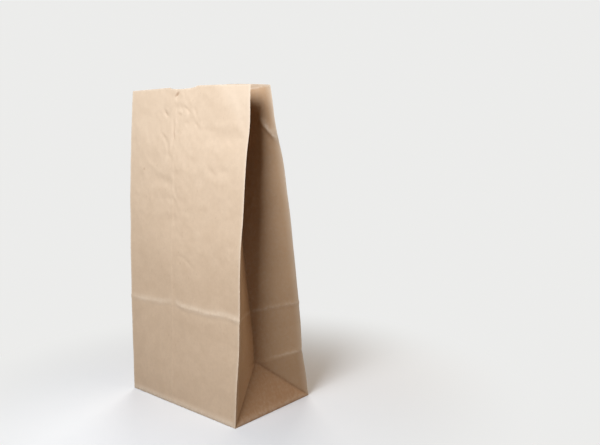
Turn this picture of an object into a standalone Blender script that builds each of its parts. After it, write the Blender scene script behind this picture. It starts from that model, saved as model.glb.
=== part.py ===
"""Brown paper lunch bag, standing open, in metres with +Z up.

One kraft sheet, folded and glued: a front and a back panel, two gusseted sides and a flat bottom
of two glued flaps. The front panel faces -Y, and the origin is the middle of the bottom. The bag
is modelled as a plain box that is cut along every fold, after which each point moves to its place
on the folded sheet. A height on the paper is measured along the sheet, up from the foot.
"""
import math

import bmesh
import bpy
from mathutils import Vector

# The sheet
WIDTH = 0.127                 # front and back panels, from left to right
DEPTH = 0.0794                # gussets, from front to back at the foot
HEIGHT = 0.2476               # foot to rim
PAPER = 0.00012               # one layer of kraft paper

# How far each upright fold has come in at the rim
FRONT_LEFT_LEAN = 0.0179
FRONT_RIGHT_LEAN = 0.0297
BACK_LEFT_LEAN = 0.0190
BACK_RIGHT_LEAN = 0.0300

# Slope inwards of each upright fold in degrees, at the foot and at the mouth
FRONT_LEFT_FOOT = 2.2
FRONT_LEFT_MOUTH = 7.6
FRONT_RIGHT_FOOT = 6.5
FRONT_RIGHT_MOUTH = 8.7
BACK_LEFT_FOOT = 4.4
BACK_LEFT_MOUTH = 8.4
BACK_RIGHT_FOOT = 6.8
BACK_RIGHT_MOUTH = 13.2

# Soft buckle across the bag below the mouth
BUCKLE_BELOW_RIM = 0.0297
BUCKLE_REACH = 0.0173
BUCKLE_FRONT = 0.0018
BUCKLE_BACK = 0.0022

# Rims: how much higher they are at their crown than at their corners, and where the crown is
FRONT_CROWN = 0.0012
BACK_CROWN = 0.0026
CROWN_X = 0.011

# Gussets: slack taken up by their curl, as a share of their half depth
GUSSET_SLACK = 0.034

# Creases left by the flat pack: a proud line round the bag, and a valley across the back
RIDGE = 0.0005
RIDGE_REACH = 0.0025
VALLEY = 0.0014
VALLEY_REACH = 0.024

# Lap seam up the front panel: the free edge of the outer layer, and the width glued
SEAM_X = -0.011
SEAM_LAP = 0.011
SEAM_RAMP = 0.005

# Thumb notch in the front rim
NOTCH_X = -0.0036
NOTCH_WIDTH = 0.0290
NOTCH_DROP = 0.0017
NOTCH_BLEND = 0.020

# Bottom: how far each flap passes the middle, and the rounded fold round the foot
FLAP_PAST_MIDDLE = 0.010
FOOT_ROUND = 0.0008

# Mesh: greatest spacing of the cuts, the run of a step at a paper edge, and the snap of a cut
ROW = 0.0102
COLUMN = 0.0107
NOTCH_COLUMN = 0.0026
STEP_RUN = 0.0003
SNAP = 1e-6

# Layers of paper at the thickest place, in the bottom
MOST_LAYERS = 3

KRAFT_COLOUR = (0.50, 0.35, 0.22, 1.0)
KRAFT_ROUGHNESS = 0.85


def inset(fold, height):
    """How far an upright fold has come in at a height on the paper."""
    lean, foot, mouth, buckle = fold
    t = height / HEIGHT
    rise = lean * (3 * t ** 2 - 2 * t ** 3)
    foot_part = HEIGHT * math.tan(math.radians(foot)) * (t ** 3 - 2 * t ** 2 + t)
    mouth_part = HEIGHT * math.tan(math.radians(mouth)) * (t ** 3 - t ** 2)
    from_buckle = (height - HEIGHT + BUCKLE_BELOW_RIM) / BUCKLE_REACH
    return rise + foot_part + mouth_part + buckle * math.exp(-from_buckle ** 2)


def upright_fold(side, face, height):
    """A point on one of the four upright folds; side and face are -1 or 1."""
    if face > 0 and side > 0:
        fold = (BACK_RIGHT_LEAN, BACK_RIGHT_FOOT, BACK_RIGHT_MOUTH, BUCKLE_BACK)
    elif face > 0:
        fold = (BACK_LEFT_LEAN, BACK_LEFT_FOOT, BACK_LEFT_MOUTH, 0)
    elif side > 0:
        fold = (FRONT_RIGHT_LEAN, FRONT_RIGHT_FOOT, FRONT_RIGHT_MOUTH, BUCKLE_FRONT)
    else:
        fold = (FRONT_LEFT_LEAN, FRONT_LEFT_FOOT, FRONT_LEFT_MOUTH, 0)
    upright = math.sqrt(1 - (fold[0] / HEIGHT) ** 2)
    come_in = inset(fold, height)
    if face > 0:
        come_in += VALLEY * max(0, 1 - abs(height - DEPTH / 2) / VALLEY_REACH)
    return Vector((side * WIDTH / 2, face * (DEPTH / 2 - come_in), height * upright))


def triangle_tilt(side):
    """Tilt inwards of a gusset's base triangle, which the slope of the panels sets."""
    if side > 0:
        slope = math.radians((FRONT_RIGHT_FOOT + BACK_RIGHT_FOOT) / 2)
    else:
        slope = math.radians((FRONT_LEFT_FOOT + BACK_LEFT_FOOT) / 2)
    return math.acos((1 - math.sin(slope)) / math.cos(slope))


def triangle_point(side, y, height):
    """A point on a gusset's base triangle."""
    tilt = triangle_tilt(side)
    return Vector((side * (WIDTH / 2 - height * math.sin(tilt)), y, height * math.cos(tilt)))


def middle_fold(side, height):
    """A point on a gusset's middle fold, above its base triangle."""
    front = upright_fold(side, -1, height)
    back = upright_fold(side, 1, height)
    rise = (height - DEPTH / 2) / (HEIGHT - DEPTH / 2)
    curl = max(0, math.sin(math.pi * rise)) ** 0.5
    half = DEPTH / 2 * (1 - GUSSET_SLACK * curl)
    reach = math.sqrt(half ** 2 - ((back.y - front.y) / 2) ** 2)
    apex = triangle_point(side, 0, DEPTH / 2)
    upright = (front.z + back.z) / (2 * height)
    z = apex.z + (height - DEPTH / 2) * upright
    return Vector((side * (WIDTH / 2 - reach), (front.y + back.y) / 2, z))


def gusset_point(side, y, height):
    """A point of a gusset, from its place on the box."""
    half = DEPTH / 2
    if abs(y) <= half - height + SNAP:
        return triangle_point(side, y, height)
    face = -1 if y < 0 else 1
    if height < half:
        inner = triangle_point(side, face * (half - height), height)
    else:
        inner = middle_fold(side, height)
    across = (half - abs(y)) / min(height, half)
    return upright_fold(side, face, height).lerp(inner, across)


def crease(height):
    """Stand-out of the crease that runs round the bag one depth above the foot."""
    return RIDGE * math.exp(-((height - DEPTH) / RIDGE_REACH) ** 2)


def seam_lift(x):
    """Stand-out of the outer layer over the lap seam."""
    lap_start = SEAM_X - SEAM_LAP
    if x > SEAM_X + SNAP:
        return 0
    return PAPER * min(1, max(0, (x - lap_start + SEAM_RAMP) / SEAM_RAMP))


def notch_drop(x):
    """Depth of the thumb notch below the rim, half of a flat ellipse."""
    from_middle = (x - NOTCH_X) / (NOTCH_WIDTH / 2)
    return NOTCH_DROP * math.sqrt(max(0, 1 - from_middle ** 2))


def rim_crown(face, x, height):
    """How much higher a panel's paper stands than a straight line between its folds."""
    crown = FRONT_CROWN if face < 0 else BACK_CROWN
    corner = WIDTH / 2 if x > CROWN_X else -WIDTH / 2
    from_crown = (x - CROWN_X) / (corner - CROWN_X)
    return crown * (1 - from_crown ** 1.3) * (height / HEIGHT) ** 4


def panel_point(face, x, height):
    """A point of the front (-1) or back (1) panel, from its place on the box."""
    stand_out = crease(height)
    if face < 0:
        near_rim = max(0, (height - HEIGHT + NOTCH_BLEND) / NOTCH_BLEND)
        height -= notch_drop(x) * near_rim
        stand_out += seam_lift(x)
    across = x / WIDTH + 0.5
    point = upright_fold(-1, face, height).lerp(upright_fold(1, face, height), across)
    return point + Vector((0, face * stand_out, rim_crown(face, x, height)))


def bottom_level(x, y):
    """Layers of paper between the ground and the underside at a place on the bottom."""
    half_width = WIDTH / 2 + SNAP
    half_depth = DEPTH / 2
    in_outer_flap = y <= FLAP_PAST_MIDDLE + SNAP and abs(x) <= half_width - (y + half_depth)
    in_inner_flap = abs(x) <= half_width - (half_depth - y)
    if in_outer_flap:
        return 0
    return 1 if in_inner_flap else 2


def on_front(point):
    return abs(point.y + DEPTH / 2) < SNAP


def on_back(point):
    return abs(point.y - DEPTH / 2) < SNAP


def on_gusset(point):
    return abs(abs(point.x) - WIDTH / 2) < SNAP


def on_bottom(point):
    return abs(point.z) < SNAP


def folded(point):
    """Where a point of the box lies on the folded bag, and the layers of paper there."""
    if on_front(point):
        in_seam = SEAM_X - SEAM_LAP - SNAP <= point.x <= SEAM_X + SNAP
        return panel_point(-1, point.x, point.z), 2 if in_seam else 1
    if on_back(point):
        return panel_point(1, point.x, point.z), 1
    if on_gusset(point):
        side = 1 if point.x > 0 else -1
        return gusset_point(side, point.y, point.z), 1
    level = bottom_level(point.x, point.y)
    return Vector((point.x, point.y, level * PAPER)), MOST_LAYERS - level


def stations(marks, spacing):
    """Places from the first mark to the last, through each mark and no further apart than spacing."""
    marks = sorted(marks)
    places = [marks[0]]
    for start, end in zip(marks, marks[1:]):
        count = max(1, math.ceil((end - start) / spacing - SNAP))
        places += [start + (end - start) * i / count for i in range(1, count + 1)]
    return places


def cut(bm, is_wanted, place, normal):
    """Cut the faces whose middle is wanted by a plane through a place."""
    faces = [face for face in bm.faces if is_wanted(face.calc_center_median())]
    edges = {edge for face in faces for edge in face.edges}
    verts = {vert for face in faces for vert in face.verts}
    geometry = faces + list(edges) + list(verts)
    bmesh.ops.bisect_plane(bm, geom=geometry, dist=SNAP, plane_co=place, plane_no=normal)


def box_with_open_top(bm):
    """The upright box that the folded bag is made from."""
    bmesh.ops.create_cube(bm, size=1)
    bmesh.ops.scale(bm, vec=(WIDTH, DEPTH, HEIGHT), verts=bm.verts)
    bmesh.ops.translate(bm, vec=(0, 0, HEIGHT / 2), verts=bm.verts)
    lid = [face for face in bm.faces if face.normal.z > 0.5]
    bmesh.ops.delete(bm, geom=lid, context="FACES")


def cut_walls(bm):
    """Rows round the box and columns up each wall, with a line on every fold and paper edge."""
    half_width = WIDTH / 2
    half_depth = DEPTH / 2
    marks = [0, half_depth, DEPTH, HEIGHT - NOTCH_BLEND, HEIGHT]
    marks += [DEPTH - RIDGE_REACH, DEPTH + RIDGE_REACH]
    for z in stations(marks, ROW)[1:-1]:
        cut(bm, lambda middle: not on_bottom(middle), (0, 0, z), (0, 0, 1))
    for y in stations([-half_depth, 0, half_depth], ROW)[1:-1]:
        cut(bm, on_gusset, (0, y, 0), (0, 1, 0))
    for x in stations([-half_width, half_width], COLUMN)[1:-1]:
        cut(bm, on_back, (x, 0, 0), (1, 0, 0))
    seam_marks = [SEAM_X - SEAM_LAP - SEAM_RAMP, SEAM_X - SEAM_LAP - STEP_RUN]
    seam_marks += [SEAM_X - SEAM_LAP, SEAM_X, SEAM_X + STEP_RUN]
    for x in stations([-half_width, half_width] + seam_marks, COLUMN)[1:-1]:
        cut(bm, on_front, (x, 0, 0), (1, 0, 0))


def cut_notch(bm):
    """Close columns where the thumb notch bends the rim."""
    def beside_notch(middle):
        return on_front(middle) and middle.z > HEIGHT - NOTCH_BLEND

    start = NOTCH_X - NOTCH_WIDTH / 2
    for x in stations([start, start + NOTCH_WIDTH], NOTCH_COLUMN):
        cut(bm, beside_notch, (x, 0, 0), (1, 0, 0))


def cut_base_triangles(bm):
    """The two slanting folds at the foot of each gusset."""
    def foot_of_gusset(middle):
        return on_gusset(middle) and middle.z < DEPTH / 2

    for face in (-1, 1):
        cut(bm, foot_of_gusset, (0, face * DEPTH / 2, 0), (0, 1, face))


def cut_bottom(bm):
    """The rounded fold at the foot, then both lines of each step at a flap's edge."""
    bottom = [face for face in bm.faces if on_bottom(face.calc_center_median())]
    bmesh.ops.inset_region(bm, faces=bottom, thickness=FOOT_ROUND, use_even_offset=True)

    def inside_foot(middle):
        inside = abs(middle.x) < WIDTH / 2 - FOOT_ROUND and abs(middle.y) < DEPTH / 2 - FOOT_ROUND
        return on_bottom(middle) and inside

    for past in (0, STEP_RUN):
        cut(bm, inside_foot, (0, FLAP_PAST_MIDDLE + past, 0), (0, 1, 0))
        reach = (WIDTH - DEPTH) / 2 + past * math.sqrt(2)
        for side in (-1, 1):
            for face in (-1, 1):
                cut(bm, inside_foot, (side * reach, 0, 0), (side, face, 0))


def paper_material():
    material = bpy.data.materials.new("kraft paper")
    material.use_nodes = True
    shader = material.node_tree.nodes["Principled BSDF"]
    shader.inputs["Base Color"].default_value = KRAFT_COLOUR
    shader.inputs["Roughness"].default_value = KRAFT_ROUGHNESS
    shader.inputs["Metallic"].default_value = 0.0
    return material


def make_bag():
    """The folded sheet as a surface, thickened inwards by its layers of paper."""
    bm = bmesh.new()
    box_with_open_top(bm)
    cut_walls(bm)
    cut_notch(bm)
    cut_base_triangles(bm)
    cut_bottom(bm)
    bm.verts.index_update()
    layers = []
    for vert in bm.verts:
        vert.co, count = folded(vert.co)
        layers.append(count)
    bmesh.ops.triangulate(bm, faces=bm.faces, quad_method="BEAUTY")
    bmesh.ops.recalc_face_normals(bm, faces=bm.faces)

    mesh = bpy.data.meshes.new("paper_bag")
    bm.to_mesh(mesh)
    bm.free()
    mesh.shade_smooth()
    mesh.set_sharp_from_angle(angle=math.radians(20))
    mesh.materials.append(paper_material())
    bag = bpy.data.objects.new("paper_bag", mesh)
    group = bag.vertex_groups.new(name="layers")
    for index, count in enumerate(layers):
        group.add([index], count / MOST_LAYERS, "REPLACE")

    solidify = bag.modifiers.new("paper thickness", "SOLIDIFY")
    solidify.thickness = MOST_LAYERS * PAPER
    solidify.offset = -1
    solidify.use_even_offset = True
    solidify.use_quality_normals = True
    solidify.vertex_group = "layers"
    return bag


def main():
    for old in list(bpy.data.objects):
        bpy.data.objects.remove(old, do_unlink=True)
    parts = bpy.data.collections.new("paper lunch bag")
    bpy.context.scene.collection.children.link(parts)
    parts.objects.link(make_bag())


main()
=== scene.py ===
"""The looks of a brown kraft paper lunch bag that stands open, in metres with +Z up.

The bag is one folded sheet, and stands in place of the plain CAD sheet. Its mesh starts as an
upright box. Each point of the box then moves to its place on the folded sheet, and from there by
the small waves, creases and puckers that the paper has. A height on the paper is measured along
the sheet, up from the foot. The front panel faces -Y, and side and face are -1 or 1.
"""
import math

import bmesh
import bpy
from mathutils import Matrix, Vector, noise


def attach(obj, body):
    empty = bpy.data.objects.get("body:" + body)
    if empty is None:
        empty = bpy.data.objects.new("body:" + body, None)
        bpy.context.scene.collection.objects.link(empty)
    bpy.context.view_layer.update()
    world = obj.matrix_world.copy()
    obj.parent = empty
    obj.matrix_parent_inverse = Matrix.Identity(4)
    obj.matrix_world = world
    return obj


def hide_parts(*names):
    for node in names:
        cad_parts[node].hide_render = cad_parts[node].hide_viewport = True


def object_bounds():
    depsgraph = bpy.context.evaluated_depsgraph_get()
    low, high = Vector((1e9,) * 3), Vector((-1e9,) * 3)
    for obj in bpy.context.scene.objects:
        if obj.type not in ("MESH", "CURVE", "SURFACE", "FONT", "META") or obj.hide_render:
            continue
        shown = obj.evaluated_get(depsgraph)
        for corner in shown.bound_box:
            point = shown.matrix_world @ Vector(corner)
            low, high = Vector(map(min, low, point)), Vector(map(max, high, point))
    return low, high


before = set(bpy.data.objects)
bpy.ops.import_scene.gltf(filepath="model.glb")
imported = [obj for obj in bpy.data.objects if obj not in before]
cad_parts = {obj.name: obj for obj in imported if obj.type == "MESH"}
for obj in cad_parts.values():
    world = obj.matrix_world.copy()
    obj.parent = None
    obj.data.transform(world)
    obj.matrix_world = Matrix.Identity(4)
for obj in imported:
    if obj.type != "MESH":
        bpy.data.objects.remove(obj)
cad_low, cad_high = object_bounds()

# How far each upright fold has come in at the rim
FRONT_LEFT_LEAN = 0.0179
FRONT_RIGHT_LEAN = 0.0297
BACK_LEFT_LEAN = 0.0190
BACK_RIGHT_LEAN = 0.0300

# Slope inwards of each upright fold in degrees, at the foot and at the mouth
FRONT_LEFT_FOOT = 2.2
FRONT_LEFT_MOUTH = 7.6
FRONT_RIGHT_FOOT = 6.5
FRONT_RIGHT_MOUTH = 8.7
BACK_LEFT_FOOT = 4.4
BACK_LEFT_MOUTH = 8.4
BACK_RIGHT_FOOT = 6.8
BACK_RIGHT_MOUTH = 13.2

# The sheet: width and depth from the CAD box
WIDTH = cad_high.x - cad_low.x
DEPTH = 2 * cad_high.y
HEIGHT = 0.2476
PAPER = 0.00012

# Soft buckle across the bag below the mouth
BUCKLE_BELOW_RIM = 0.0297
BUCKLE_REACH = 0.0173
BUCKLE_FRONT = 0.0018
BUCKLE_BACK = 0.0022

# Rims: how much higher they are at their crown than at their corners, where the crown is, and the
# powers by which it falls towards the corners and grows up the panel
FRONT_CROWN = 0.0012
BACK_CROWN = 0.0026
CROWN_X = 0.011
CROWN_ROUNDNESS = 1.3
CROWN_GROWTH = 4

# Gussets: slack taken up by their curl, as a share of their half depth
GUSSET_SLACK = 0.034

# Creases left by the flat pack: proud lines one depth above the foot, and a valley across the back
RIDGE = 0.0005
RIDGE_REACH = 0.0016
VALLEY = 0.0014
VALLEY_REACH = 0.024

# Lap seam up the front panel: the free edge of the outer layer, and the width glued
SEAM_X = -0.011
SEAM_LAP = 0.011
SEAM_RAMP = 0.005

# Thumb notch in the front rim
NOTCH_X = -0.0036
NOTCH_WIDTH = 0.0290
NOTCH_DROP = 0.0017
NOTCH_BLEND = 0.020

# Bottom: how far each flap passes the middle
FLAP_PAST_MIDDLE = 0.010
FOOT_RING = 0.0016

# Puckers of the front panel: middle in X and height, half length, half width, turn in degrees, depth
FRONT_PUCKERS = (
    (-0.0222, 0.2276, 0.0034, 0.0015, -44, 0.00085),
    (-0.0074, 0.2268, 0.0036, 0.0017, -14, 0.00062),
    (0.0015, 0.2300, 0.0038, 0.0013, -42, 0.00080),
    (0.0101, 0.2275, 0.0036, 0.0013, -70, 0.00075),
    (-0.0126, 0.2118, 0.0060, 0.0011, -84, 0.00078),
    (0.0013, 0.2199, 0.0020, 0.0016, 0, 0.00070),
    (0.0112, 0.2184, 0.0023, 0.0013, -42, 0.00080),
    (-0.0232, 0.2098, 0.0036, 0.0013, -40, 0.00080),
    (-0.0157, 0.1958, 0.0026, 0.0020, -30, 0.00052),
    (-0.0100, 0.1967, 0.0034, 0.0012, 70, -0.00035),
    (0.0220, 0.2148, 0.0080, 0.0016, -4, 0.00040),
    (-0.0236, 0.1764, 0.0075, 0.0044, -14, 0.00088),
    (-0.0165, 0.1752, 0.0042, 0.0040, -24, 0.00055),
    (0.0300, 0.1842, 0.0055, 0.0024, -38, 0.00060),
    (0.0410, 0.1850, 0.0085, 0.0032, 0, 0.00055),
    (0.0220, 0.1990, 0.0120, 0.0030, 88, -0.00020),
    (-0.0014, 0.1353, 0.0022, 0.0018, 0, 0.00030),
    (-0.0010, 0.1190, 0.0024, 0.0018, 0, 0.00036),
    (0.0080, 0.1150, 0.0065, 0.0014, -32, 0.00032),
    (0.0120, 0.1313, 0.0024, 0.0020, 0, 0.00026),
    (-0.0098, 0.2434, 0.0026, 0.0008, 35, 0.00050),
)

# Small dark marks on the front panel: a brown speck, painted shade in two puckers, and a painted shadow
# under the lifted seam corner at the rim. Middle in X and height, half length, half width, turn in
# degrees, strength
FRONT_MARKS = (
    # painted shadow under the lifted corner of the seam at the rim
    (-0.0102, 0.2434, 0.0036, 0.0013, 42, 0.60),
    # a brown speck
    (-0.0457, 0.1853, 0.0015, 0.0017, 0, 0.34),
    # painted shade in two puckers
    (-0.0221, 0.2285, 0.0030, 0.0009, -44, 0.22),
    (-0.0126, 0.2135, 0.0060, 0.0008, -84, 0.20),
)

# How far into the paper a mark reaches
MARK_REACH = 0.002

# Waver of the upright folds of a handled bag: where it is full above the foot, then depth and size
WAVER_FULL = 0.03
WAVER_IN = (0.00035, 0.022)
WAVER_ACROSS = (0.00025, 0.030)

# Bends of the front right fold, inwards and outwards: depth, height above the foot, reach
BEND_IN = (0.0009, 0.060, 0.016)
BEND_OUT = (0.0012, 0.125, 0.026)

# The folds and the foot hold the paper flat: how far from them its waves and its fine forms are full
WAVES_FULL = 0.016
WAVES_FULL_ABOVE_FOOT = 0.02
GUSSET_WAVES_FULL = 0.012
FINE_FULL = 0.005
GUSSET_FINE_FULL = 0.004

# Heights between which the paper goes from little handled to much handled
HANDLED_FROM = 0.09
HANDLED_FULLY = 0.20

# How steeply a crumple falls off from its ridge
CRUMPLE_STEEPNESS = 1.6

# Waves and crumples of the paper: depth, depth added where it is much handled, size
FRONT_WAVES = (0.0008, 0, 0.055)
FRONT_CRUMPLES = (0.00012, 0.00026, 0.016)
FRONT_FINE_CRUMPLES = (0.00005, 0.00015, 0.0075)
FRONT_RIPPLES = (0.00003, 0.00004, 0.0042)
BACK_WAVES = (0.0013, 0, 0.055)
BACK_SMALL_WAVES = (0.00035, 0, 0.017)
BACK_CRUMPLES = (0.00012, 0.00034, 0.019)
BACK_FINE_CRUMPLES = (0.00005, 0.00014, 0.0095)
BACK_RIPPLES = (0.00007, 0, 0.0045)
GUSSET_WAVES = (0.0008, 0, 0.032)
GUSSET_SMALL_WAVES = (0.00028, 0, 0.012)
GUSSET_RIPPLES = (0.00006, 0, 0.0045)

# Base triangles of the gussets: depth and size of their waves, and their bulge as a share of the depth
TRIANGLE_WAVES = 0.0006
TRIANGLE_WAVE_SIZE = 0.025
TRIANGLE_BULGE = 0.5

# Upright puckers that the glued seam draws up: depth, middle past the seam, reach, size, and the
# factor on heights that draws them out upwards
SEAM_PUCKERS = 0.00055
SEAM_PUCKERS_PAST = 0.002
SEAM_PUCKERS_REACH = 0.015
SEAM_PUCKERS_SIZE = 0.0052
SEAM_PUCKERS_HEIGHT_FACTOR = 0.6

# Proud crease of the front: waver, rise at the seam, and its strength along it
CREASE_WAVER = (0.0009, 0.018)
CREASE_RISE = (0.0020, 0.010)
CREASE_LEFT_STRENGTH = 0.60
CREASE_RIGHT_GAIN = 0.40
CREASE_GAIN_RUN = 0.012
CREASE_GAP = 0.85
CREASE_GAP_PAST_SEAM = 0.0015
CREASE_GAP_REACH = 0.0035
CREASE_EVEN = 0.85
CREASE_UNEVEN = 0.35
CREASE_UNEVEN_SIZE = 0.006

# Shallow groove below the proud crease: share of its ridge, distance below it, reach
GROOVE_SHARE = 0.30
GROOVE_BELOW = 0.0036
GROOVE_REACH = 0.0022

# Softer creases of the back and the gussets: ridge, depth and size of their waver, and where the
# lower one of a gusset sets in across its back half
SOFT_RIDGE = 0.8 * RIDGE
SOFT_WAVER = (0.0005, 0.02)
HALF_CREASE_FROM = 0.004
HALF_CREASE_FULLY = 0.028

# Soft sunk band of the front below the mouth at the right: depth, middle and reach
SUNK_BAND = 0.00095
SUNK_X = 0.040
SUNK_X_REACH = 0.014
SUNK_Z = 0.2090
SUNK_Z_REACH = 0.0058

# Facet of the front beyond a slanting crease at the upper right corner: the crease's place and
# normal, how far it stands out, its reach on both sides, and the heights where it sets in
CORNER_CREASE_X = 0.0455
CORNER_CREASE_Z = 0.2260
CORNER_CREASE_NORMAL = (0.82, 0.57)
FACET_OUT = 0.00075
FACET_REACH_ABOVE = 0.024
FACET_LEAST_REACH = 0.001
FACET_REACH_BELOW = 0.022
FACET_FROM = 0.208
FACET_FULLY = 0.222

# Kink in the back half of the right gusset, which slants down to the fold: its place and normal, how
# far it stands out, its reach, and where it sets in and fades
KINK_Y = 0.0347
KINK_Z = 0.2137
KINK_NORMAL = (0.80, 0.60)
KINK_OUT = 0.0019
KINK_REACH = 0.0024
KINK_FROM = 0.024
KINK_FULLY = 0.031
KINK_FADE = 0.003

# Hard fold round the foot: how far it stands out, its middle above the foot, reach, fade at corners
FOOT_LIP = 0.0004
FOOT_LIP_HEIGHT = 0.0020
FOOT_LIP_REACH = 0.0018
FOOT_LIP_FADE = 0.006

# Painted highlights, partly rubbed wear, along the rim, foot, folds, creases and kink, and painted shade
# along the valley folds: strength and reach, and how far above its fold or crease such a line lies
RIM_HIGHLIGHT_AND_WEAR = (0.7, 0.0008)
PANEL_FOOT_HIGHLIGHT_AND_WEAR = (0.9, 0.0026)
GUSSET_FOOT_HIGHLIGHT_AND_WEAR = (0.3, 0.0026)
FOOT_HIGHLIGHT_HEIGHT = 0.0012
PANEL_FOLD_HIGHLIGHT_AND_WEAR = (1.0, 0.0012)
GUSSET_FOLD_HIGHLIGHT_AND_WEAR = (0.8, 0.0009)
CREASE_HIGHLIGHT_AND_WEAR = (0.80, 0.0027)
CREASE_HIGHLIGHT_ABOVE = 0.0007
MOST_CREASE_HIGHLIGHT = 0.72
BACK_CREASE_HIGHLIGHT_AND_WEAR = (0.35, 0.0010)
GUSSET_CREASE_HIGHLIGHT_AND_WEAR = (0.4, 0.0010)
KINK_HIGHLIGHT_AND_WEAR = (0.75, 0.0014)
KINK_HIGHLIGHT_ABOVE = 0.0005
KINK_HIGHLIGHT_FROM = 0.025
KINK_HIGHLIGHT_FULLY = 0.034
TRIANGLE_PAINTED_SHADE = (1.0, 0.0010)
MIDDLE_FOLD_PAINTED_SHADE = (0.6, 0.0010)

# Painted light on the front, paler towards the mouth: share at the mouth and the heights between, and
# the corner with a painted highlight, which is palest
TOP_LIGHT_SHARE = 0.55
TOP_LIGHT_FROM = 0.09
TOP_LIGHT_FULLY = 0.25
CORNER_HIGHLIGHT_SHARE = 0.45
CORNER_HIGHLIGHT_EDGE = (-0.002, 0.008)
CORNER_HIGHLIGHT_HEIGHTS = (0.200, 0.235)

# Painted shade deep in a gusset, browner colour in place of its shade: half width low down, added higher
# up and added above the kink, and how far from the upright folds the painted shade sets in
DEEP_SHADE_REACH = 0.011
DEEP_SHADE_REACH_ADDED = 0.009
DEEP_SHADE_REACH_HEIGHTS = (0.09, 0.15)
DEEP_SHADE_REACH_AT_KINK = 0.008
DEEP_SHADE_KINK_FROM = (0.208, 0.222)
DEEP_SHADE_KINK_TO = (0.232, 0.244)
PAINTED_SHADE_EDGE = 0.006

# Mesh spacing of the rows and of the gussets' columns, then of the front's and the back's columns
ROW = 0.0016
FRONT_COLUMN = 0.0013
BACK_COLUMN = 0.0026

# Mesh details: run of a step at a paper edge, radius of a fold and share of it at the foot, angle of
# a sharp edge, snap of a cut, shortest edge kept, most layers of paper
STEP_RUN = 0.0003
FOLD_RADIUS = 0.00040
FOOT_RADIUS_SHARE = 0.5
SHARP_ANGLE = 55
SNAP = 1e-6
SHORTEST_EDGE = 0.00002
MOST_LAYERS = 3

# Camera, from a fit of the folded sheet to the photograph
CAMERA_AZIMUTH = 42.927
CAMERA_ELEVATION = 8.615
CAMERA_ROLL = -1.851
CAMERA_DISTANCE = 0.57994
CAMERA_AIM_RIGHT = 0.066698
CAMERA_AIM_UP = 0.139418
CAMERA_LENS = 42.087
SENSOR_WIDTH = 36.0
NEAREST_SEEN = 0.01

# Kraft paper: dark and pale pulp, painted shade in the gussets and deeper painted shade in them, fibres,
# flecks, painted light and rub for folds and the paler top, and painted shade for valley folds and
# marks, with dirt for a speck
KRAFT_DARK = (0.594, 0.437, 0.295, 1)
KRAFT_PALE = (0.644, 0.482, 0.332, 1)
KRAFT_PAINTED_SHADE = (0.500, 0.312, 0.170, 1)
KRAFT_PAINTED_DEEP_SHADE = (0.432, 0.237, 0.116, 1)
KRAFT_FIBRE = (0.545, 0.397, 0.268, 1)
KRAFT_FLECK = (0.380, 0.250, 0.150, 1)
KRAFT_PAINTED_LIGHT_AND_RUB = (0.800, 0.670, 0.520, 1)
KRAFT_PAINTED_SHADE_AND_DIRT = (0.300, 0.165, 0.085, 1)

# Noises of the paper: scale, detail and roughness, and how the fibres and flecks are drawn out
CLOUDS = (110.0, 4.0, 0.6)
MOTTLE = (420.0, 3.0, 0.6)
FIBRES = (1300.0, 2.0, 0.6)
FLECKS = (480.0, 1.0, 0.5)
GRAIN = (1400.0, 3.0, 0.6)
CRUMPLE_BUMPS = (260.0, 4.0, 0.55)
FIBRE_STRETCH = (1.0, 1.0, 0.12)
FLECK_STRETCH = (1.0, 1.0, 0.45)

# Shares of the paper's colours where each is strongest, painted shade and painted top light among them,
# and of the painted highlight with rub and of the painted valley shade where the mottle varies
PAINTED_SHADE_SHARE = 0.9
PAINTED_DEEP_SHADE_SHARE = 0.85
MOTTLE_SHARE = 0.30
FIBRE_SHARE = 0.14
FLECK_SHARE = 0.28
PAINTED_TOP_LIGHT_SHARE = 0.34
HIGHLIGHT_AND_RUB_SHARES = (0.30, 0.85)
VALLEY_SHADE_SHARES = (0.90, 0.55)

# Sheen and bump of the paper
ROUGHNESS = (0.58, 0.70)
SPECULAR = 0.50
GRAIN_SHARE = 0.25
BUMP_STRENGTH = 0.60
BUMP_DEPTH = 0.00018

# Soft lamp at the upper right front
KEY_PLACE = (0.135, -0.40, 0.45)
KEY_SIZE = 0.27
KEY_POWER = 3.37
KEY_COLOUR = (0.95, 1.0, 1.08)

# Weak warm lamp from the right rear, broad lamp from the left rear, and the fill from all round
BOUNCE_PLACE = (0.21, 0.30, 0.09)
BOUNCE_AIM = (0.05, 0, 0.07)
BOUNCE_SIZE = 0.20
BOUNCE_POWER = 0.23
BOUNCE_COLOUR = (1.0, 0.70, 0.44)
REAR_PLACE = (-0.55, 0.60, 0.50)
REAR_SIZE = 0.50
REAR_POWER = 4.2
REAR_COLOUR = (1.0, 0.98, 0.95)
FILL_COLOUR = (1.0, 0.78, 0.58, 1)
FILL_STRENGTH = 0.05

# Floor and surround
SURROUND = (0.84, 0.84, 0.83, 1)
FLOOR_AS_SEEN = (0.88, 0.88, 0.87, 1)
FLOOR_AS_LIGHT = (0.25, 0.185, 0.13, 1)
FLOOR_FADE_START = 0.07
FLOOR_FADE_END = 0.25
FLOOR_GAP = 0.0001
FLOOR_SIZE = 30
FLOOR_ROUGHNESS = 0.9
FLOOR_SPECULAR = 0.1


def bell(distance, reach):
    """1 at no distance, falling smoothly to nothing beyond about twice the reach."""
    return math.exp(-(distance / reach) ** 2)


def smooth_step(value, start, end):
    """0 before start, 1 after end, with a smooth rise between them."""
    t = min(1, max(0, (value - start) / (end - start)))
    return t * t * (3 - 2 * t)


def wave(seed, x, y, z, size):
    """Smooth noise between about -1 and 1, with bumps of a size in metres."""
    return noise.noise(Vector((x / size + seed, y / size - seed, z / size + 2.7 * seed)))


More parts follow.
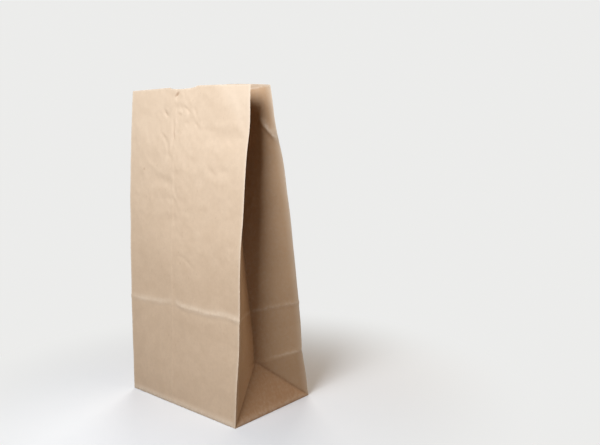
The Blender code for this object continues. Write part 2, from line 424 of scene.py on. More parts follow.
def inset(fold, height):
    """How far an upright fold has come in at a height on the paper."""
    lean, foot, mouth, buckle = fold
    t = height / HEIGHT
    rise = lean * (3 * t ** 2 - 2 * t ** 3)
    foot_part = HEIGHT * math.tan(math.radians(foot)) * (t ** 3 - 2 * t ** 2 + t)
    mouth_part = HEIGHT * math.tan(math.radians(mouth)) * (t ** 3 - t ** 2)
    buckle_part = buckle * bell(height - HEIGHT + BUCKLE_BELOW_RIM, BUCKLE_REACH)
    return rise + foot_part + mouth_part + buckle_part


def upright_fold(side, face, height):
    """A point on one of the four upright folds."""
    if face > 0 and side > 0:
        fold = (BACK_RIGHT_LEAN, BACK_RIGHT_FOOT, BACK_RIGHT_MOUTH, BUCKLE_BACK)
    elif face > 0:
        fold = (BACK_LEFT_LEAN, BACK_LEFT_FOOT, BACK_LEFT_MOUTH, 0)
    elif side > 0:
        fold = (FRONT_RIGHT_LEAN, FRONT_RIGHT_FOOT, FRONT_RIGHT_MOUTH, BUCKLE_FRONT)
    else:
        fold = (FRONT_LEFT_LEAN, FRONT_LEFT_FOOT, FRONT_LEFT_MOUTH, 0)
    upright = math.sqrt(1 - (fold[0] / HEIGHT) ** 2)
    come_in = inset(fold, height)
    if face > 0:
        come_in += VALLEY * max(0, 1 - abs(height - DEPTH / 2) / VALLEY_REACH)
    above_foot = smooth_step(height, 0, WAVER_FULL)
    depth, size = WAVER_IN
    waver_in = depth * above_foot * wave(side + 3 * face, 0, 0, height, size)
    if side > 0 and face < 0:
        waver_in += soft_bend(height, BEND_IN) - soft_bend(height, BEND_OUT)
    depth, size = WAVER_ACROSS
    waver_across = depth * above_foot * wave(5 * side + face, 0, 0, height, size)
    x = side * WIDTH / 2 + waver_across
    y = face * (DEPTH / 2 - come_in - waver_in)
    return Vector((x, y, height * upright))


def soft_bend(height, bend):
    """How far a soft bend moves a fold at a height on the paper."""
    depth, middle, reach = bend
    return depth * bell(height - middle, reach)


def triangle_tilt(side):
    """Tilt inwards of a gusset's base triangle, which the slope of the panels sets."""
    if side > 0:
        slope = math.radians((FRONT_RIGHT_FOOT + BACK_RIGHT_FOOT) / 2)
    else:
        slope = math.radians((FRONT_LEFT_FOOT + BACK_LEFT_FOOT) / 2)
    return math.acos((1 - math.sin(slope)) / math.cos(slope))


def triangle_point(side, y, height):
    """A point on a gusset's base triangle."""
    tilt = triangle_tilt(side)
    return Vector((side * (WIDTH / 2 - height * math.sin(tilt)), y, height * math.cos(tilt)))


def middle_fold(side, height):
    """A point on a gusset's middle fold, above its base triangle."""
    front = upright_fold(side, -1, height)
    back = upright_fold(side, 1, height)
    rise = (height - DEPTH / 2) / (HEIGHT - DEPTH / 2)
    curl = max(0, math.sin(math.pi * rise)) ** 0.5
    half = DEPTH / 2 * (1 - GUSSET_SLACK * curl)
    reach = math.sqrt(half ** 2 - ((back.y - front.y) / 2) ** 2)
    apex = triangle_point(side, 0, DEPTH / 2)
    upright = (front.z + back.z) / (2 * height)
    z = apex.z + (height - DEPTH / 2) * upright
    return Vector((side * (WIDTH / 2 - reach), (front.y + back.y) / 2, z))


def gusset_point(side, y, height):
    """A point of a gusset, from its place on the box."""
    half = DEPTH / 2
    if abs(y) <= half - height + SNAP:
        return triangle_point(side, y, height)
    face = -1 if y < 0 else 1
    if height < half:
        inner = triangle_point(side, face * (half - height), height)
    else:
        inner = middle_fold(side, height)
    across = (half - abs(y)) / min(height, half)
    return upright_fold(side, face, height).lerp(inner, across)


def notch_drop(x):
    """Depth of the thumb notch below the rim, half of a flat ellipse."""
    from_middle = (x - NOTCH_X) / (NOTCH_WIDTH / 2)
    return NOTCH_DROP * math.sqrt(max(0, 1 - from_middle ** 2))


def rim_crown(face, x, height):
    """How much higher a panel's paper stands than a straight line between its folds."""
    crown = FRONT_CROWN if face < 0 else BACK_CROWN
    corner = WIDTH / 2 if x > CROWN_X else -WIDTH / 2
    from_crown = (x - CROWN_X) / (corner - CROWN_X)
    return crown * (1 - from_crown ** CROWN_ROUNDNESS) * (height / HEIGHT) ** CROWN_GROWTH


def panel_point(face, x, height):
    """A point of the front or back panel, from its place on the box."""
    if face < 0:
        near_rim = max(0, (height - HEIGHT + NOTCH_BLEND) / NOTCH_BLEND)
        height -= notch_drop(x) * near_rim
    across = x / WIDTH + 0.5
    point = upright_fold(-1, face, height).lerp(upright_fold(1, face, height), across)
    return point + Vector((0, 0, rim_crown(face, x, height)))


def bottom_level(x, y):
    """Layers of paper between the ground and the underside at a place on the bottom."""
    half_width = WIDTH / 2 + SNAP
    half_depth = DEPTH / 2
    if y <= FLAP_PAST_MIDDLE + SNAP and abs(x) <= half_width - (y + half_depth):
        return 0
    return 1 if abs(x) <= half_width - (half_depth - y) else 2


def on_front(point):
    return abs(point.y + DEPTH / 2) < SNAP


def on_back(point):
    return abs(point.y - DEPTH / 2) < SNAP


def on_gusset(point):
    return abs(abs(point.x) - WIDTH / 2) < SNAP


def on_bottom(point):
    return abs(point.z) < SNAP


def folded(point):
    """Where a point of the box lies on the folded bag."""
    if on_front(point):
        return panel_point(-1, point.x, point.z)
    if on_back(point):
        return panel_point(1, point.x, point.z)
    if on_gusset(point):
        return gusset_point(1 if point.x > 0 else -1, point.y, point.z)
    return Vector((point.x, point.y, bottom_level(point.x, point.y) * PAPER))


def layers_at(point):
    """Layers of paper at a point of the box."""
    if on_front(point):
        return 2 if SEAM_X - SEAM_LAP - SNAP <= point.x <= SEAM_X + SNAP else 1
    if on_back(point) or on_gusset(point):
        return 1
    return MOST_LAYERS - bottom_level(point.x, point.y)


def seam_lift(x):
    """Stand-out of the outer layer over the lap seam."""
    if x > SEAM_X + SNAP:
        return 0
    return PAPER * min(1, max(0, (x - SEAM_X + SEAM_LAP + SEAM_RAMP) / SEAM_RAMP))


def pucker_depth(x, z, pucker):
    """Depth of a pucker at a place on a panel: a long soft dent, turned."""
    middle_x, middle_z, length, width, turn, depth = pucker
    turn = math.radians(turn)
    along = (x - middle_x) * math.cos(turn) + (z - middle_z) * math.sin(turn)
    aside = (z - middle_z) * math.cos(turn) - (x - middle_x) * math.sin(turn)
    return depth * bell(along, length) * bell(aside, width)


def crumple(seed, x, y, z, size):
    """Handled paper: flat facets that meet in soft ridges, between about 0 and 1."""
    return 1 - abs(wave(seed, x, y, z, size)) * CRUMPLE_STEEPNESS


def waves(form, handled, seed, x, y, z):
    """Waves of a form: its depth, the depth added where the paper is much handled, and its size."""
    depth, added, size = form
    return (depth + added * handled) * wave(seed, x, y, z, size)


def crumples(form, handled, seed, x, y, z):
    """Crumples of a form, which is given as for waves."""
    depth, added, size = form
    return (depth + added * handled) * crumple(seed, x, y, z, size)


def foot_lip(to_corner, z):
    """Stand-out of the hard fold round the foot, which ends at the corners."""
    lip = FOOT_LIP * bell(z - FOOT_LIP_HEIGHT, FOOT_LIP_REACH) * smooth_step(z, 0, FOOT_LIP_REACH)
    return lip * smooth_step(to_corner, 0, FOOT_LIP_FADE)


def past_corner_crease(x, z):
    """How far a place on the front is beyond the slanting crease at its upper right corner."""
    normal_x, normal_z = CORNER_CREASE_NORMAL
    return (x - CORNER_CREASE_X) * normal_x + (z - CORNER_CREASE_Z) * normal_z


def front_crease(x, z):
    """Height above the front's proud crease, and the crease's strength at a place along it."""
    waver, waver_size = CREASE_WAVER
    rise, rise_reach = CREASE_RISE
    above = z - DEPTH - waver * wave(4, x, 0, 0, waver_size) - rise * bell(x - SEAM_X, rise_reach)
    strength = CREASE_LEFT_STRENGTH
    strength += CREASE_RIGHT_GAIN * smooth_step(x, SEAM_X, SEAM_X + CREASE_GAIN_RUN)
    strength *= 1 - CREASE_GAP * bell(x - SEAM_X - CREASE_GAP_PAST_SEAM, CREASE_GAP_REACH)
    return above, strength * (CREASE_EVEN + CREASE_UNEVEN * wave(8, x, 0, 0, CREASE_UNEVEN_SIZE))


def front_stand_out(x, z):
    """How far the front panel's paper stands out of its flat face."""
    to_fold = WIDTH / 2 - abs(x)
    free = smooth_step(to_fold, 0, WAVES_FULL) * smooth_step(z, 0, WAVES_FULL_ABOVE_FOOT)
    near = smooth_step(to_fold, 0, FINE_FULL)
    high = smooth_step(z, HANDLED_FROM, HANDLED_FULLY)
    out = free * waves(FRONT_WAVES, high, 1, x, 0, z)
    out += free * crumples(FRONT_CRUMPLES, high, 2, x, 0, z)
    out += near * crumples(FRONT_FINE_CRUMPLES, high, 7, x, 0, z)
    out += near * waves(FRONT_RIPPLES, high, 3, x, 0, z)
    # upright puckers that the glued seam draws up, in the upper half
    by_seam = bell(x - SEAM_X - SEAM_PUCKERS_PAST, SEAM_PUCKERS_REACH)
    pucker_form = crumple(31, x, 0, SEAM_PUCKERS_HEIGHT_FACTOR * z, SEAM_PUCKERS_SIZE)
    out += SEAM_PUCKERS * high * by_seam * pucker_form
    # proud crease one depth up: weaker left of the seam, almost gone at it, strong right of it
    above, strength = front_crease(x, z)
    out += RIDGE * strength * bell(above, RIDGE_REACH)
    out -= GROOVE_SHARE * RIDGE * strength * bell(above + GROOVE_BELOW, GROOVE_REACH)
    for pucker in FRONT_PUCKERS:
        out -= pucker_depth(x, z, pucker)
    out -= SUNK_BAND * bell(x - SUNK_X, SUNK_X_REACH) * bell(z - SUNK_Z, SUNK_Z_REACH)
    past_crease = past_corner_crease(x, z)
    reach = FACET_REACH_BELOW
    if past_crease > 0:
        reach = min(FACET_REACH_ABOVE, max(FACET_LEAST_REACH, to_fold))
    facet = FACET_OUT * max(0, 1 - abs(past_crease) / reach)
    out += facet * smooth_step(z, FACET_FROM, FACET_FULLY)
    return out + seam_lift(x) + foot_lip(to_fold, z)


def back_stand_out(x, z):
    """How far the back panel's paper stands out of its flat face."""
    to_fold = WIDTH / 2 - abs(x)
    free = smooth_step(to_fold, 0, WAVES_FULL) * smooth_step(z, 0, WAVES_FULL_ABOVE_FOOT)
    near = smooth_step(to_fold, 0, FINE_FULL)
    high = smooth_step(z, HANDLED_FROM, HANDLED_FULLY)
    out = free * waves(BACK_WAVES, high, 11, x, 0, z)
    out += free * waves(BACK_SMALL_WAVES, high, 12, x, 0, z)
    out += free * crumples(BACK_CRUMPLES, high, 16, x, 0, z)
    out += free * crumples(BACK_FINE_CRUMPLES, high, 17, x, 0, z)
    out += near * waves(BACK_RIPPLES, high, 13, x, 0, z)
    waver, size = SOFT_WAVER
    out += SOFT_RIDGE * bell(z - DEPTH - waver * wave(14, x, 0, 0, size), RIDGE_REACH)
    out -= SOFT_RIDGE * bell(z - DEPTH / 2 - waver * wave(15, x, 0, 0, size), RIDGE_REACH)
    return out + foot_lip(to_fold, z)


def gusset_stand_out(side, y, z):
    """How far a gusset's paper stands out of the flat face between its folds."""
    half = DEPTH / 2
    if abs(y) <= half - z + SNAP:
        to_fold = min(half - z - abs(y), z)
        bulge = TRIANGLE_BULGE + wave(21 + side, 0, y, z, TRIANGLE_WAVE_SIZE)
        out = TRIANGLE_WAVES * smooth_step(to_fold, 0, GUSSET_WAVES_FULL) * bulge
        return out + foot_lip(half - abs(y), z)
    to_fold = min(half - abs(y), abs(y) if z > half else z - (half - abs(y)))
    free = smooth_step(to_fold, 0, GUSSET_WAVES_FULL)
    near = smooth_step(to_fold, 0, GUSSET_FINE_FULL)
    out = free * waves(GUSSET_WAVES, 0, 22 + side, 0, y, z)
    out += free * waves(GUSSET_SMALL_WAVES, 0, 24 + side, 0, y, z)
    out += near * waves(GUSSET_RIPPLES, 0, 26 + side, 0, y, z)
    out += SOFT_RIDGE * near * bell(z - DEPTH, RIDGE_REACH)
    if y > 0:
        back_half = smooth_step(y, HALF_CREASE_FROM, HALF_CREASE_FULLY)
        out += SOFT_RIDGE * near * bell(z - half, RIDGE_REACH) * back_half
    if y > 0 and side > 0:
        ridge = KINK_OUT * smooth_step(half - y, 0, KINK_FADE) * smooth_step(y, KINK_FROM, KINK_FULLY)
        out += ridge * bell(past_kink(y, z), KINK_REACH)
    return out


def past_kink(y, z):
    """Distance above the kink in the back half of the right gusset."""
    normal_y, normal_z = KINK_NORMAL
    return (z - KINK_Z) * normal_z + (y - KINK_Y) * normal_y


def stand_out(point):
    """How far the paper stands out at a point of the box, along its own normal."""
    if on_front(point):
        return front_stand_out(point.x, point.z)
    if on_back(point):
        return back_stand_out(point.x, point.z)
    if on_gusset(point):
        return gusset_stand_out(1 if point.x > 0 else -1, point.y, point.z)
    return 0


def painted_line(distance, line):
    """Share at a distance from a painted line of highlight and rub, or of shade, given its strength and
    reach.
    """
    strength, reach = line
    return strength * bell(distance, reach)


def painted_fold_light_and_wear(point):
    """Painted highlights with some rub on folds, creases and edges near 1, painted shade along valley
    folds near -1, plain paper 0.
    """
    half = DEPTH / 2
    light_and_wear = painted_line(HEIGHT - point.z, RIM_HIGHLIGHT_AND_WEAR)
    foot_highlight_and_wear = GUSSET_FOOT_HIGHLIGHT_AND_WEAR if on_gusset(point) else PANEL_FOOT_HIGHLIGHT_AND_WEAR
    light_and_wear += painted_line(point.z - FOOT_HIGHLIGHT_HEIGHT, foot_highlight_and_wear)
    if on_front(point) or on_back(point):
        light_and_wear = max(light_and_wear, painted_line(WIDTH / 2 - abs(point.x), PANEL_FOLD_HIGHLIGHT_AND_WEAR))
    if on_front(point):
        above, strength = front_crease(point.x, point.z)
        crease_highlight_and_rub = painted_line(above - CREASE_HIGHLIGHT_ABOVE, CREASE_HIGHLIGHT_AND_WEAR)
        light_and_wear = max(light_and_wear, min(strength, MOST_CREASE_HIGHLIGHT) * crease_highlight_and_rub)
    if on_back(point):
        for height in (DEPTH, half):
            light_and_wear = max(light_and_wear, painted_line(point.z - height, BACK_CREASE_HIGHLIGHT_AND_WEAR))
    if on_gusset(point):
        light_and_wear = max(light_and_wear, painted_line(half - abs(point.y), GUSSET_FOLD_HIGHLIGHT_AND_WEAR))
        above_triangle = abs(point.y) - half + point.z
        if above_triangle > 0:
            light_and_wear = max(light_and_wear, painted_line(point.z - DEPTH, GUSSET_CREASE_HIGHLIGHT_AND_WEAR))
        if point.y > 0 and point.x > 0:
            kink_highlight_and_rub = painted_line(past_kink(point.y, point.z) - KINK_HIGHLIGHT_ABOVE, KINK_HIGHLIGHT_AND_WEAR)
            light_and_wear = max(light_and_wear, kink_highlight_and_rub * smooth_step(point.y, KINK_HIGHLIGHT_FROM, KINK_HIGHLIGHT_FULLY))
        if above_triangle > 0 and point.y > 0:
            back_half = smooth_step(point.y, HALF_CREASE_FROM, HALF_CREASE_FULLY)
            light_and_wear = max(light_and_wear, painted_line(point.z - half, GUSSET_CREASE_HIGHLIGHT_AND_WEAR) * back_half)
        # painted shade along the slanting folds of the base triangle and along the middle fold
        if point.z < half:
            light_and_wear -= painted_line(above_triangle / math.sqrt(2), TRIANGLE_PAINTED_SHADE)
        else:
            light_and_wear -= painted_line(point.y, MIDDLE_FOLD_PAINTED_SHADE)
    return light_and_wear


def painted_top_light(point):
    """Painted light on the front's paper, 0 at its foot to 1: more towards the mouth, most at a corner
    with a painted highlight.
    """
    if not on_front(point):
        return 0
    corner = smooth_step(past_corner_crease(point.x, point.z), *CORNER_HIGHLIGHT_EDGE)
    corner *= smooth_step(point.z, *CORNER_HIGHLIGHT_HEIGHTS)
    return TOP_LIGHT_SHARE * smooth_step(point.z, TOP_LIGHT_FROM, TOP_LIGHT_FULLY) + CORNER_HIGHLIGHT_SHARE * corner


def painted_gusset_shade(point):
    """How much painted shade, as browner colour, the paper gets: 0 on the panels, 1 in a gusset, 2 deep
    in it or its triangle.
    """
    if not on_gusset(point):
        return 0
    half = DEPTH / 2
    in_triangle = abs(point.y) <= half - point.z + SNAP
    reach = DEEP_SHADE_REACH + DEEP_SHADE_REACH_ADDED * smooth_step(point.z, *DEEP_SHADE_REACH_HEIGHTS)
    if point.y > 0 and point.x > 0:
        # wider painted shade above the kink, where the flap turns from the light
        above_kink = smooth_step(point.z, *DEEP_SHADE_KINK_FROM) * (1 - smooth_step(point.z, *DEEP_SHADE_KINK_TO))
        reach += DEEP_SHADE_REACH_AT_KINK * above_kink
    deep = 1 if in_triangle else bell(point.y, reach)
    return smooth_step(half - abs(point.y), 0, PAINTED_SHADE_EDGE) * (1 + deep)


def stations(marks, spacing):
    """Places from the first mark to the last, through each mark and no further apart than spacing."""
    marks = sorted(marks)
    places = [marks[0]]
    for start, end in zip(marks, marks[1:]):
        count = max(1, math.ceil((end - start) / spacing - SNAP))
        places += [start + (end - start) * i / count for i in range(1, count + 1)]
    return places


def add_wall(bm, known, across, up, place):
    """A grid of faces on one side of the box; points shared with other sides are made once."""
    def corner(u, v):
        point = place(u, v)
        key = tuple(round(c * 1e7) for c in point)
        if key not in known:
            known[key] = bm.verts.new(point)
        return known[key]

    for u0, u1 in zip(across, across[1:]):
        for v0, v1 in zip(up, up[1:]):
            a, b, c, d = corner(u0, v0), corner(u1, v0), corner(u1, v1), corner(u0, v1)
            if on_slant(a.co) and on_slant(c.co):
                bm.faces.new((a, b, c))
                bm.faces.new((a, c, d))
            elif on_slant(b.co) and on_slant(d.co):
                bm.faces.new((a, b, d))
                bm.faces.new((b, c, d))
            else:
                bm.faces.new((a, b, c, d))


def on_slant(point):
    """Whether a point of the box is on a slanting fold at the foot of a gusset."""
    return on_gusset(point) and abs(abs(point.y) - DEPTH / 2 + point.z) < SNAP


def cut(bm, is_wanted, place, normal):
    """Cut the faces whose middle is wanted by a plane through a place."""
    faces = [face for face in bm.faces if is_wanted(face.calc_center_median())]
    edges = {edge for face in faces for edge in face.edges}
    verts = {vert for face in faces for vert in face.verts}
    geometry = faces + list(edges) + list(verts)
    bmesh.ops.bisect_plane(bm, geom=geometry, dist=SNAP, plane_co=place, plane_no=normal)


def box_mesh():
    """The upright box that the folded bag is made from, open at the top."""
    bm = bmesh.new()
    known = {}
    half_width = WIDTH / 2
    half_depth = DEPTH / 2
    lap_end = SEAM_X - SEAM_LAP
    x_marks = [-half_width, lap_end - STEP_RUN, lap_end, SEAM_X, SEAM_X + STEP_RUN, half_width]
    z_marks = [0, half_depth, DEPTH - RIDGE_REACH / 2, DEPTH, DEPTH + RIDGE_REACH / 2]
    z_marks += [HEIGHT - NOTCH_BLEND, HEIGHT]
    rows = stations(z_marks, ROW)
    depths = stations([-half_depth, 0, half_depth], ROW)
    for face, column in ((-1, FRONT_COLUMN), (1, BACK_COLUMN)):
        columns = stations(x_marks, column)
        add_wall(bm, known, columns, rows, lambda u, v: Vector((u, face * half_depth, v)))
    for side in (-1, 1):
        add_wall(bm, known, depths, rows, lambda u, v: Vector((side * half_width, u, v)))
    foot = [edge for edge in bm.edges if all(on_bottom(vert.co) for vert in edge.verts)]
    bmesh.ops.contextual_create(bm, geom=foot)
    bottom = [face for face in bm.faces if on_bottom(face.calc_center_median())]
    bmesh.ops.inset_region(bm, faces=bottom, thickness=FOOT_RING, use_even_offset=True)
    cut_flaps(bm)
    bmesh.ops.dissolve_degenerate(bm, dist=SHORTEST_EDGE, edges=bm.edges)
    bmesh.ops.recalc_face_normals(bm, faces=bm.faces)
    return bm


def cut_flaps(bm):
    """Both lines of each step at a bottom flap's edge."""
    def inside_ring(middle):
        inside = abs(middle.x) < WIDTH / 2 - FOOT_RING and abs(middle.y) < DEPTH / 2 - FOOT_RING
        return on_bottom(middle) and inside

    for past in (0, STEP_RUN):
        cut(bm, inside_ring, (0, FLAP_PAST_MIDDLE + past, 0), (0, 1, 0))
        reach = (WIDTH - DEPTH) / 2 + past * math.sqrt(2)
        for side in (-1, 1):
            for face in (-1, 1):
                cut(bm, inside_ring, (side * reach, 0, 0), (side, face, 0))


def is_fold(edge):
    """Whether an edge of the box lies on a real fold of the sheet."""
    a, b = (vert.co for vert in edge.verts)
    on_one_panel = on_front(a) and on_front(b) or on_back(a) and on_back(b)
    at_corner = on_gusset(a) and on_gusset(b) and on_one_panel
    beside_wall = any(not on_bottom(face.calc_center_median()) for face in edge.link_faces)
    around_foot = on_bottom(a) and on_bottom(b) and len(edge.link_faces) == 2 and beside_wall
    up_middle = on_gusset(a) and on_gusset(b) and abs(a.y) < SNAP and abs(b.y) < SNAP
    above_triangle = min(a.z, b.z) > DEPTH / 2 - SNAP
    return at_corner or around_foot or up_middle and above_triangle or on_slant(a) and on_slant(b)


def paper_bag(material):
    """The folded sheet, with rounded folds and the thickness of its layers."""
    bm = box_mesh()
    weights = bm.edges.layers.float.new("bevel_weight_edge")
    for edge in bm.edges:
        around_foot = all(on_bottom(vert.co) for vert in edge.verts)
        weight = FOOT_RADIUS_SHARE if around_foot else 1.0
        edge[weights] = weight if is_fold(edge) else 0.0
    bm.verts.index_update()
    places = [vert.co.copy() for vert in bm.verts]
    for vert, place in zip(bm.verts, places):
        vert.co = folded(place)
    bm.normal_update()
    for vert, place in zip(bm.verts, places):
        vert.co += vert.normal * stand_out(place)
    mesh = bpy.data.meshes.new("bag")
    bm.to_mesh(mesh)
    bm.free()
    mesh.shade_smooth()
    mesh.materials.append(material)
    box_place = mesh.attributes.new("box_place", "FLOAT_VECTOR", "POINT")
    box_place.data.foreach_set("vector", [c for place in places for c in place])
    # painted highlights with some rub on folds, creases, rim and foot, and painted shade along valley
    # folds
    light_and_wear = mesh.attributes.new("painted_fold_light_and_wear", "FLOAT", "POINT")
    light_and_wear.data.foreach_set("value", [painted_fold_light_and_wear(place) for place in places])
    # painted light on the upper front, with a painted highlight at its upper right corner
    pale = mesh.attributes.new("pale", "FLOAT", "POINT")
    pale.data.foreach_set("value", [painted_top_light(place) for place in places])
    # painted shade in the gussets, deeper near their middle folds and in their base triangles
    painted_shade = mesh.attributes.new("painted_shade", "FLOAT", "POINT")
    painted_shade.data.foreach_set("value", [painted_gusset_shade(place) for place in places])

    bag = bpy.data.objects.new("folded_bag", mesh)
    bpy.context.collection.objects.link(bag)
    group = bag.vertex_groups.new(name="layers")
    for index, place in enumerate(places):
        group.add([index], layers_at(place) / MOST_LAYERS, "REPLACE")
    bevel = bag.modifiers.new("rounded folds", "BEVEL")
    bevel.limit_method = "WEIGHT"
    bevel.width = FOLD_RADIUS
    bevel.segments = 2
    solidify = bag.modifiers.new("paper thickness", "SOLIDIFY")
    solidify.thickness = MOST_LAYERS * PAPER
    solidify.offset = -1
    solidify.use_quality_normals = True
    solidify.vertex_group = "layers"
    apply_modifiers(bag)
    bag.data.set_sharp_from_angle(angle=math.radians(SHARP_ANGLE))
    return bag


def apply_modifiers(piece):
    """Replace a piece's mesh by its evaluated mesh."""
    graph = bpy.context.evaluated_depsgraph_get()
    mesh = bpy.data.meshes.new_from_object(piece.evaluated_get(graph))
    piece.modifiers.clear()
    cut_into_triangles(mesh)
    piece.data = mesh


def cut_into_triangles(mesh):
    """Cut the mesh into triangles, and join the corners that lie on each other."""
    bm = bmesh.new()
    bm.from_mesh(mesh)
    bmesh.ops.triangulate(bm, faces=bm.faces, quad_method="BEAUTY", ngon_method="BEAUTY")
    bmesh.ops.remove_doubles(bm, verts=bm.verts, dist=SNAP)
    bm.to_mesh(mesh)
    bm.free()


class Nodes:
    """Short calls that add nodes to a material and link them."""

    def __init__(self, name):
        self.material = bpy.data.materials.new(name)
        self.material.use_nodes = True
        self.tree = self.material.node_tree
        self.shader = self.tree.nodes["Principled BSDF"]

    def add(self, kind, **settings):
        node = self.tree.nodes.new(kind)
        for key, value in settings.items():
            setattr(node, key, value)
        return node

    def link(self, source, target):
        self.tree.links.new(source, target)

    def set_or_link(self, value, target):
        if hasattr(value, "links"):
            self.link(value, target)
        else:
            target.default_value = value

    def attribute(self, name, output):
        return self.add("ShaderNodeAttribute", attribute_name=name).outputs[output]

    def stretched(self, place, scale):
        node = self.add("ShaderNodeVectorMath", operation="MULTIPLY")
        self.link(place, node.inputs[0])
        node.inputs[1].default_value = scale
        return node.outputs[0]

    def mark(self, place, middle, size, turn):
        """1 at the middle of an oval that is turned about Y, and 0 outside it."""
        oval = self.add("ShaderNodeMapping", vector_type="TEXTURE")
        self.link(place, oval.inputs["Vector"])
        oval.inputs["Location"].default_value = middle
        oval.inputs["Rotation"].default_value = (0.0, -turn, 0.0)
        oval.inputs["Scale"].default_value = size
        away = self.add("ShaderNodeVectorMath", operation="LENGTH")
        self.link(oval.outputs[0], away.inputs[0])
        return self.between(away.outputs["Value"], 1.0, 0.3)

    def noise(self, place, scale, detail=3.0, roughness=0.5):
        node = self.add("ShaderNodeTexNoise")
        self.link(place, node.inputs["Vector"])
        node.inputs["Scale"].default_value = scale
        node.inputs["Detail"].default_value = detail
        node.inputs["Roughness"].default_value = roughness
        return node.outputs["Fac"]

    def between(self, value, low, high, to_low=0.0, to_high=1.0):
        node = self.add("ShaderNodeMapRange")
        self.link(value, node.inputs["Value"])
        node.inputs["From Min"].default_value = low
        node.inputs["From Max"].default_value = high
        node.inputs["To Min"].default_value = to_low
        node.inputs["To Max"].default_value = to_high
        return node.outputs["Result"]

    def math(self, operation, a, b):
        node = self.add("ShaderNodeMath", operation=operation)
        self.set_or_link(a, node.inputs[0])
        self.set_or_link(b, node.inputs[1])
        return node.outputs[0]

    def mix(self, share, a, b):
        node = self.add("ShaderNodeMix", data_type="RGBA")
        self.set_or_link(share, node.inputs[0])
        self.set_or_link(a, node.inputs[6])
        self.set_or_link(b, node.inputs[7])
        return node.outputs[2]


def kraft_paper():
    """Brown kraft paper: cloudy pulp, faint fibres, flecks, pale rubbed folds, dark valley folds."""
    kit = Nodes("kraft paper")
    place = kit.attribute("box_place", "Vector")
    light_and_wear = kit.attribute("painted_fold_light_and_wear", "Fac")
    painted_shade = kit.attribute("painted_shade", "Fac")

    clouds = kit.noise(place, *CLOUDS)
    mottle = kit.noise(place, *MOTTLE)
    colour = kit.mix(kit.between(clouds, 0.32, 0.68), KRAFT_DARK, KRAFT_PALE)
    # painted shade in the gussets, deeper near their middle folds and in their base triangles
    colour = kit.mix(kit.between(painted_shade, 0.0, 1.0, 0.0, PAINTED_SHADE_SHARE), colour, KRAFT_PAINTED_SHADE)
    colour = kit.mix(kit.between(painted_shade, 1.0, 2.0, 0.0, PAINTED_DEEP_SHADE_SHARE), colour, KRAFT_PAINTED_DEEP_SHADE)
    colour = kit.mix(kit.between(mottle, 0.42, 0.68, 0.0, MOTTLE_SHARE), colour, KRAFT_FIBRE)
    fibres = kit.noise(kit.stretched(place, FIBRE_STRETCH), *FIBRES)
    colour = kit.mix(kit.between(fibres, 0.40, 0.70, 0.0, FIBRE_SHARE), colour, KRAFT_FIBRE)
    flecks = kit.noise(kit.stretched(place, FLECK_STRETCH), *FLECKS)
    colour = kit.mix(kit.between(flecks, 0.70, 0.77, 0.0, FLECK_SHARE), colour, KRAFT_FLECK)
    # painted light: the front paler towards the mouth, with a painted highlight at a corner
    top_light = kit.between(kit.attribute("pale", "Fac"), 0.0, 1.0, 0.0, PAINTED_TOP_LIGHT_SHARE)
    colour = kit.mix(top_light, colour, KRAFT_PAINTED_LIGHT_AND_RUB)
    # painted highlights, partly rubbed wear, on folds, creases, rim and foot
    highlit = kit.between(light_and_wear, 0.0, 1.0)
    highlight_and_rub = kit.math("MULTIPLY", highlit, kit.between(mottle, 0.35, 0.60, *HIGHLIGHT_AND_RUB_SHARES))
    colour = kit.mix(highlight_and_rub, colour, KRAFT_PAINTED_LIGHT_AND_RUB)
    # painted shade along the valley folds
    valley_shade = kit.between(light_and_wear, 0.0, -1.0)
    valley_shade_share = kit.math("MULTIPLY", valley_shade, kit.between(mottle, 0.35, 0.60, *VALLEY_SHADE_SHARES))
    colour = kit.mix(valley_shade_share, colour, KRAFT_PAINTED_SHADE_AND_DIRT)
    # a brown speck, painted shade in two puckers and a painted shadow at the seam's corner
    for x, z, length, width, turn, strength in FRONT_MARKS:
        size = (length, MARK_REACH, width)
        mark = kit.mark(place, (x, -DEPTH / 2, z), size, math.radians(turn))
        colour = kit.mix(kit.math("MULTIPLY", mark, strength), colour, KRAFT_PAINTED_SHADE_AND_DIRT)
    kit.link(colour, kit.shader.inputs["Base Color"])

    kit.link(kit.between(clouds, 0.3, 0.7, *ROUGHNESS), kit.shader.inputs["Roughness"])
    kit.shader.inputs["Specular IOR Level"].default_value = SPECULAR

    grain = kit.noise(place, *GRAIN)
    bumps = kit.noise(place, *CRUMPLE_BUMPS)
    fine = kit.math("MULTIPLY", grain, GRAIN_SHARE)
    height = kit.math("ADD", fine, kit.math("MULTIPLY", bumps, 1 - GRAIN_SHARE))
    bump = kit.add("ShaderNodeBump")
    bump.inputs["Strength"].default_value = BUMP_STRENGTH
    bump.inputs["Distance"].default_value = BUMP_DEPTH
    kit.link(height, bump.inputs["Height"])
    kit.link(bump.outputs["Normal"], kit.shader.inputs["Normal"])
    return kit.material


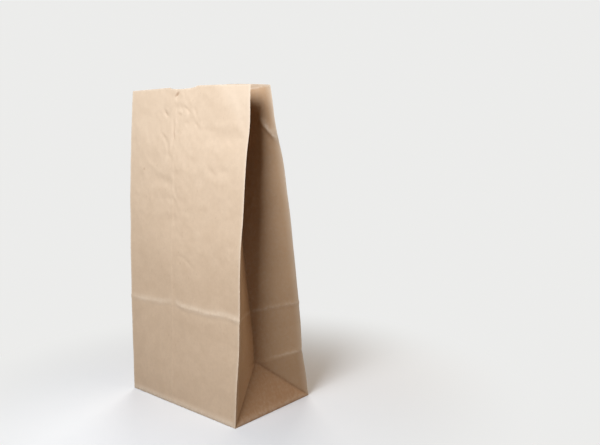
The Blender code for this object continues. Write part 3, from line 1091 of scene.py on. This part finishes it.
def plain_floor():
    """A plain pale floor: it shows the bag's shadow, and turns into the even surround further off."""
    kit = Nodes("pale floor")
    rays = kit.add("ShaderNodeLightPath")
    seen = kit.math("MAXIMUM", rays.outputs["Is Camera Ray"], rays.outputs["Is Glossy Ray"])
    seen = kit.math("MAXIMUM", seen, rays.outputs["Is Transmission Ray"])
    kit.link(kit.mix(seen, FLOOR_AS_LIGHT, FLOOR_AS_SEEN), kit.shader.inputs["Base Color"])
    kit.shader.inputs["Roughness"].default_value = FLOOR_ROUGHNESS
    kit.shader.inputs["Specular IOR Level"].default_value = FLOOR_SPECULAR
    away = kit.add("ShaderNodeVectorMath", operation="LENGTH")
    kit.link(kit.add("ShaderNodeTexCoord").outputs["Object"], away.inputs[0])
    far = kit.add("ShaderNodeMapRange", interpolation_type="SMOOTHSTEP")
    kit.link(away.outputs["Value"], far.inputs["Value"])
    far.inputs["From Min"].default_value = FLOOR_FADE_START
    far.inputs["From Max"].default_value = FLOOR_FADE_END
    pale = kit.add("ShaderNodeEmission")
    pale.inputs["Color"].default_value = SURROUND
    blend = kit.add("ShaderNodeMixShader")
    kit.link(kit.math("MULTIPLY", seen, far.outputs["Result"]), blend.inputs[0])
    kit.link(kit.shader.outputs["BSDF"], blend.inputs[1])
    kit.link(pale.outputs[0], blend.inputs[2])
    kit.link(blend.outputs[0], kit.tree.nodes["Material Output"].inputs["Surface"])
    bpy.ops.mesh.primitive_plane_add(size=FLOOR_SIZE, location=(0, 0, -FLOOR_GAP))
    floor = bpy.context.object
    floor.name = "floor"
    floor.data.materials.append(kit.material)
    return floor


def soft_lamp(name, place, aim, size, power, colour):
    """A square soft lamp at a place, turned to an aim point."""
    data = bpy.data.lights.new(name, "AREA")
    data.shape = "SQUARE"
    data.size = size
    data.energy = power
    data.color = colour
    lamp = bpy.data.objects.new(name, data)
    lamp.location = place
    lamp.rotation_euler = (Vector(aim) - Vector(place)).to_track_quat("-Z", "Y").to_euler()
    lamp.visible_camera = False
    bpy.context.collection.objects.link(lamp)


def studio():
    """A soft lamp at the upper right front, weaker ones at both rears, fill, and a pale surround."""
    soft_lamp("key", KEY_PLACE, (0, 0, HEIGHT / 2), KEY_SIZE, KEY_POWER, KEY_COLOUR)
    soft_lamp("bounce", BOUNCE_PLACE, BOUNCE_AIM, BOUNCE_SIZE, BOUNCE_POWER, BOUNCE_COLOUR)
    soft_lamp("rear", REAR_PLACE, (0, 0, HEIGHT / 2), REAR_SIZE, REAR_POWER, REAR_COLOUR)
    world = bpy.data.worlds.new("surround")
    bpy.context.scene.world = world
    world.use_nodes = True
    nodes = world.node_tree.nodes
    links = world.node_tree.links
    fill = nodes["Background"]
    fill.inputs["Color"].default_value = FILL_COLOUR
    fill.inputs["Strength"].default_value = FILL_STRENGTH
    seen = nodes.new("ShaderNodeBackground")
    seen.inputs["Color"].default_value = SURROUND
    seen.inputs["Strength"].default_value = 1.0
    rays = nodes.new("ShaderNodeLightPath")
    is_seen = rays.outputs["Is Camera Ray"]
    for kind in ("Is Glossy Ray", "Is Transmission Ray"):
        either = nodes.new("ShaderNodeMath")
        either.operation = "MAXIMUM"
        links.new(is_seen, either.inputs[0])
        links.new(rays.outputs[kind], either.inputs[1])
        is_seen = either.outputs[0]
    mix = nodes.new("ShaderNodeMixShader")
    links.new(is_seen, mix.inputs[0])
    links.new(fill.outputs[0], mix.inputs[1])
    links.new(seen.outputs[0], mix.inputs[2])
    links.new(mix.outputs[0], nodes["World Output"].inputs["Surface"])


def camera():
    """The photograph's viewing angle and framing."""
    azimuth, elevation, roll = (math.radians(a) for a in (CAMERA_AZIMUTH, CAMERA_ELEVATION, CAMERA_ROLL))
    level_back = Vector((math.sin(azimuth), -math.cos(azimuth), 0))
    back = level_back * math.cos(elevation) + Vector((0, 0, math.sin(elevation)))
    level_right = Vector((math.cos(azimuth), math.sin(azimuth), 0))
    level_up = back.cross(level_right)
    right = level_right * math.cos(roll) + level_up * math.sin(roll)
    up = back.cross(right)
    place = right * CAMERA_AIM_RIGHT + up * CAMERA_AIM_UP + back * CAMERA_DISTANCE
    data = bpy.data.cameras.new("camera")
    data.sensor_width = SENSOR_WIDTH
    data.lens = CAMERA_LENS
    data.clip_start = NEAREST_SEEN
    seer = bpy.data.objects.new("camera", data)
    seer.matrix_world = Matrix.Translation(place) @ Matrix((right, up, back)).transposed().to_4x4()
    bpy.context.collection.objects.link(seer)
    bpy.context.scene.camera = seer


camera()
bag = paper_bag(kraft_paper())
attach(bag, "root")
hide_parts("paper_bag")
plain_floor()
studio()
bpy.context.scene.view_settings.view_transform = "Standard"
